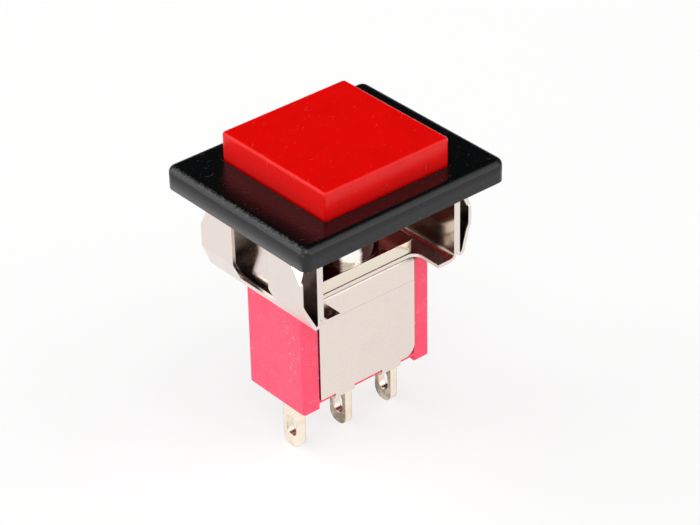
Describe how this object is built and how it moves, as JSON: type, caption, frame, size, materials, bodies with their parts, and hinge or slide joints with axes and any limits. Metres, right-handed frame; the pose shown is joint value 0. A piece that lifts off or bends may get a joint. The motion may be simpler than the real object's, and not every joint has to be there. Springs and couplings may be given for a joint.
{
  "type": "panel push button switch",
  "caption": "Momentary panel push button switch: square red cap in a black snap-in bezel, spring clip, threaded bushing, moulded body under a metal strap, solder lugs.",
  "frame": {"origin": "centre of the panel cut-out, in the plane of the panel's front face, which is the bezel's underside", "axes": "+Z out of the panel towards the finger, X along the row of lugs and the bezel's long side, +Y away from the strap's front leg"},
  "size_m": [0.0196, 0.0164, 0.0261],
  "materials": {
    "bezel": "gloss black moulding",
    "cap": "red moulding, semi-gloss",
    "brass": "turned, bare",
    "spring_wire": "drawn wire",
    "clip": "bright nickel plate",
    "bushing": "nickel plate",
    "strap": "satin tin plate, fine scratches",
    "case": "pink-red moulding",
    "lug": "tinned brass",
    "silver": "fine silver",
    "driver": "natural moulding",
    "seal": "cast resin"
  },
  "bodies": {
    "housing": {"bezel": "bezel", "snap_clip": "clip", "bushing": "bushing", "frame_strap": "strap", "case": "case", "terminal_closed": "lug", "terminal_common": "lug", "terminal_open": "lug", "contact_closed": "silver", "contact_open": "silver", "terminal_seal": "seal", "return_spring": "spring_wire", "overtravel_spring": "spring_wire", "bias_spring": "spring_wire"},
    "button": {"cap": "cap", "plunger": "brass"},
    "driver": {"driver": "driver"},
    "rocker": {"rocker": "brass", "rocker_contact_closed": "silver", "rocker_contact_open": "silver"}
  },
  "joints": [
    {"name": "push", "type": "slide", "parent": "housing", "child": "button", "axis": [0, 0, -1], "range_m": [0, 0.002], "stiffness_N_per_m": 750, "springref_m": -0.002, "deforming": ["return_spring", "overtravel_spring"]},
    {"name": "driver_slide", "type": "slide", "parent": "housing", "child": "driver", "axis": [0, 0, -1], "range_m": [0, 0.000403], "deforming": ["bias_spring"]},
    {"name": "rock", "type": "hinge", "parent": "housing", "child": "rocker", "pos_m": [0, 0, -0.01341], "axis": [0, 1, 0], "range_deg": [0, 10.01]}
  ],
  "couplings": [
    {"joint": "driver_slide", "follows": "push", "ratio": 0.2012},
    {"joint": "rock", "follows": "push", "rad_per_m": 87.266}
  ]
}
